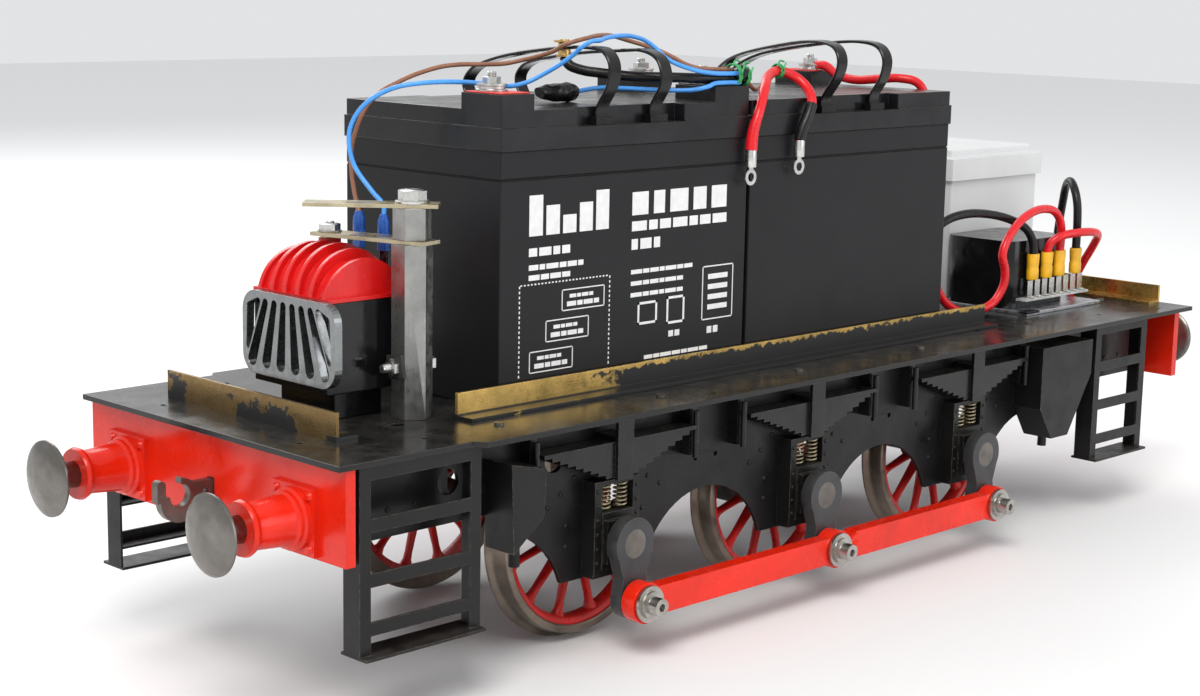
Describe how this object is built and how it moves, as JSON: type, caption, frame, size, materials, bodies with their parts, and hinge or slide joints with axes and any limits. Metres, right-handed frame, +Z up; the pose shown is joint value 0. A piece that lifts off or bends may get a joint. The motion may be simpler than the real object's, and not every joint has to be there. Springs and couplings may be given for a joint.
{
  "type": "model locomotive chassis",
  "caption": "Battery-electric model locomotive chassis with its body off: six coupled wheels, outside cranks, red beams, sprung buffers, batteries and horn on the deck.",
  "frame": {"origin": "under the middle of the chassis, level with the bottoms of the wheel flanges, the lowest points", "axes": "+X to the rear end (away from the horn), +Y to the far side, +Z up"},
  "size_m": [0.878, 0.269, 0.3363],
  "materials": {
    "black_frame": "satin",
    "black_gloss": "gloss",
    "black_worn": "satin, worn at the edges",
    "red_paint": "gloss, chipped",
    "red_wheel": "painted red, bare steel tyres",
    "crank_iron": "dull",
    "bright_steel": "turned",
    "dark_steel": "oiled",
    "spring_steel": "dull",
    "motor_case": "satin",
    "aged_brass": "tarnished",
    "zinc_strip": "yellow zinc plated",
    "battery_case": "fine grained",
    "terminal_steel": "plated",
    "strap_plastic": "satin",
    "silver_plastic": "silver painted",
    "red_plastic": "gloss",
    "blue_sleeve": "moulded",
    "yellow_sleeve": "moulded",
    "base_aluminium": "bare",
    "white_plastic": "smooth",
    "blue_wire": "extruded",
    "brown_wire": "extruded",
    "black_cable": "extruded",
    "red_cable": "extruded"
  },
  "bodies": {
    "chassis": {"frame_plates": "black_frame", "horn_guides": "black_worn", "frame_stretchers": "black_frame", "front_beam": "red_paint", "rear_beam": "red_paint", "deck": "black_gloss", "steps": "black_worn", "sandboxes": "black_worn", "leaf_springs": "black_worn", "brass_angles": "aged_brass", "battery_cases": "battery_case", "battery_lids": "battery_case", "battery_terminals": "terminal_steel", "battery_handles": "strap_plastic", "buffer_stocks": "red_paint", "horn_body": "strap_plastic", "horn_grille": "silver_plastic", "horn_top": "red_plastic", "spade_terminals": "blue_sleeve", "post": "bright_steel", "post_strips": "zinc_strip", "post_fasteners": "bright_steel", "controller_base": "base_aluminium", "controller_cover": "strap_plastic", "controller_terminals": "terminal_steel", "crimp_sleeves": "yellow_sleeve", "tub": "white_plastic", "push_button": "aged_brass", "wire_blue": "blue_wire", "wire_brown": "brown_wire", "wire_sheathed": "black_cable", "wire_tape": "black_cable", "cables_red": "red_cable", "cables_black": "black_cable", "jumper_lead": "red_cable", "ring_terminals": "terminal_steel", "coil_springs": "spring_steel"},
    "axle_carriage": {"axleboxes": "black_worn", "drive_motor": "motor_case"},
    "wheelset_front": {"wheels_front": "red_wheel", "axle_front": "dark_steel", "cranks_front": "crank_iron", "crankpins_front": "bright_steel"},
    "wheelset_middle": {"wheels_middle": "red_wheel", "axle_middle": "dark_steel", "cranks_middle": "crank_iron", "crankpins_middle": "bright_steel"},
    "wheelset_rear": {"wheels_rear": "red_wheel", "axle_rear": "dark_steel", "cranks_rear": "crank_iron", "crankpins_rear": "bright_steel"},
    "rods_near": {"rods_near": "red_paint"},
    "rods_far": {"rods_far": "red_paint"},
    "buffer_fr_near": {"buffer_fr_near": "bright_steel"},
    "buffer_fr_far": {"buffer_fr_far": "bright_steel"},
    "buffer_rr_near": {"buffer_rr_near": "bright_steel"},
    "buffer_rr_far": {"buffer_rr_far": "bright_steel"},
    "hook_front": {"hook_front": "dark_steel"},
    "hook_rear": {"hook_rear": "dark_steel"},
    "lid": {"tub_lid": "white_plastic"}
  },
  "joints": [
    {"name": "suspension", "type": "slide", "parent": "chassis", "child": "axle_carriage", "axis": [0, 0, 1], "range_m": [0, 0.003], "stiffness_N_per_m": 100000, "springref_m": -0.003, "deforming": ["coil_springs"]},
    {"name": "spin_front", "type": "hinge", "parent": "axle_carriage", "child": "wheelset_front", "pos_m": [-0.186, 0, 0.0635], "axis": [0, 1, 0], "continuous": true},
    {"name": "spin_middle", "type": "hinge", "parent": "axle_carriage", "child": "wheelset_middle", "pos_m": [-0.021, 0, 0.0635], "axis": [0, 1, 0], "continuous": true},
    {"name": "spin_rear", "type": "hinge", "parent": "axle_carriage", "child": "wheelset_rear", "pos_m": [0.144, 0, 0.0635], "axis": [0, 1, 0], "continuous": true},
    {"name": "rod_turn_near", "type": "hinge", "parent": "wheelset_middle", "child": "rods_near", "pos_m": [-0.021, -0.119, 0.032], "axis": [0, 1, 0], "continuous": true},
    {"name": "rod_turn_far", "type": "hinge", "parent": "wheelset_middle", "child": "rods_far", "pos_m": [0.0105, 0.119, 0.0635], "axis": [0, 1, 0], "continuous": true},
    {"name": "push_fr_near", "type": "slide", "parent": "chassis", "child": "buffer_fr_near", "axis": [1, 0, 0], "range_m": [0, 0.008], "stiffness_N_per_m": 3000, "springref_m": -0.003},
    {"name": "push_fr_far", "type": "slide", "parent": "chassis", "child": "buffer_fr_far", "axis": [1, 0, 0], "range_m": [0, 0.008], "stiffness_N_per_m": 3000, "springref_m": -0.003},
    {"name": "push_rr_near", "type": "slide", "parent": "chassis", "child": "buffer_rr_near", "axis": [-1, 0, 0], "range_m": [0, 0.008], "stiffness_N_per_m": 3000, "springref_m": -0.003},
    {"name": "push_rr_far", "type": "slide", "parent": "chassis", "child": "buffer_rr_far", "axis": [-1, 0, 0], "range_m": [0, 0.008], "stiffness_N_per_m": 3000, "springref_m": -0.003},
    {"name": "pull_front", "type": "slide", "parent": "chassis", "child": "hook_front", "axis": [-1, 0, 0], "range_m": [0, 0.003], "stiffness_N_per_m": 8000, "springref_m": -0.003},
    {"name": "pull_rear", "type": "slide", "parent": "chassis", "child": "hook_rear", "axis": [1, 0, 0], "range_m": [0, 0.003], "stiffness_N_per_m": 8000, "springref_m": -0.003},
    {"name": "lift_lid", "type": "slide", "parent": "chassis", "child": "lid", "axis": [0, 0, 1], "range_m": [0, 0.02]}
  ],
  "couplings": [
    {"joint": "spin_front", "follows": "spin_middle", "ratio": 1},
    {"joint": "spin_rear", "follows": "spin_middle", "ratio": 1},
    {"joint": "rod_turn_near", "follows": "spin_middle", "ratio": -1},
    {"joint": "rod_turn_far", "follows": "spin_middle", "ratio": -1}
  ]
}
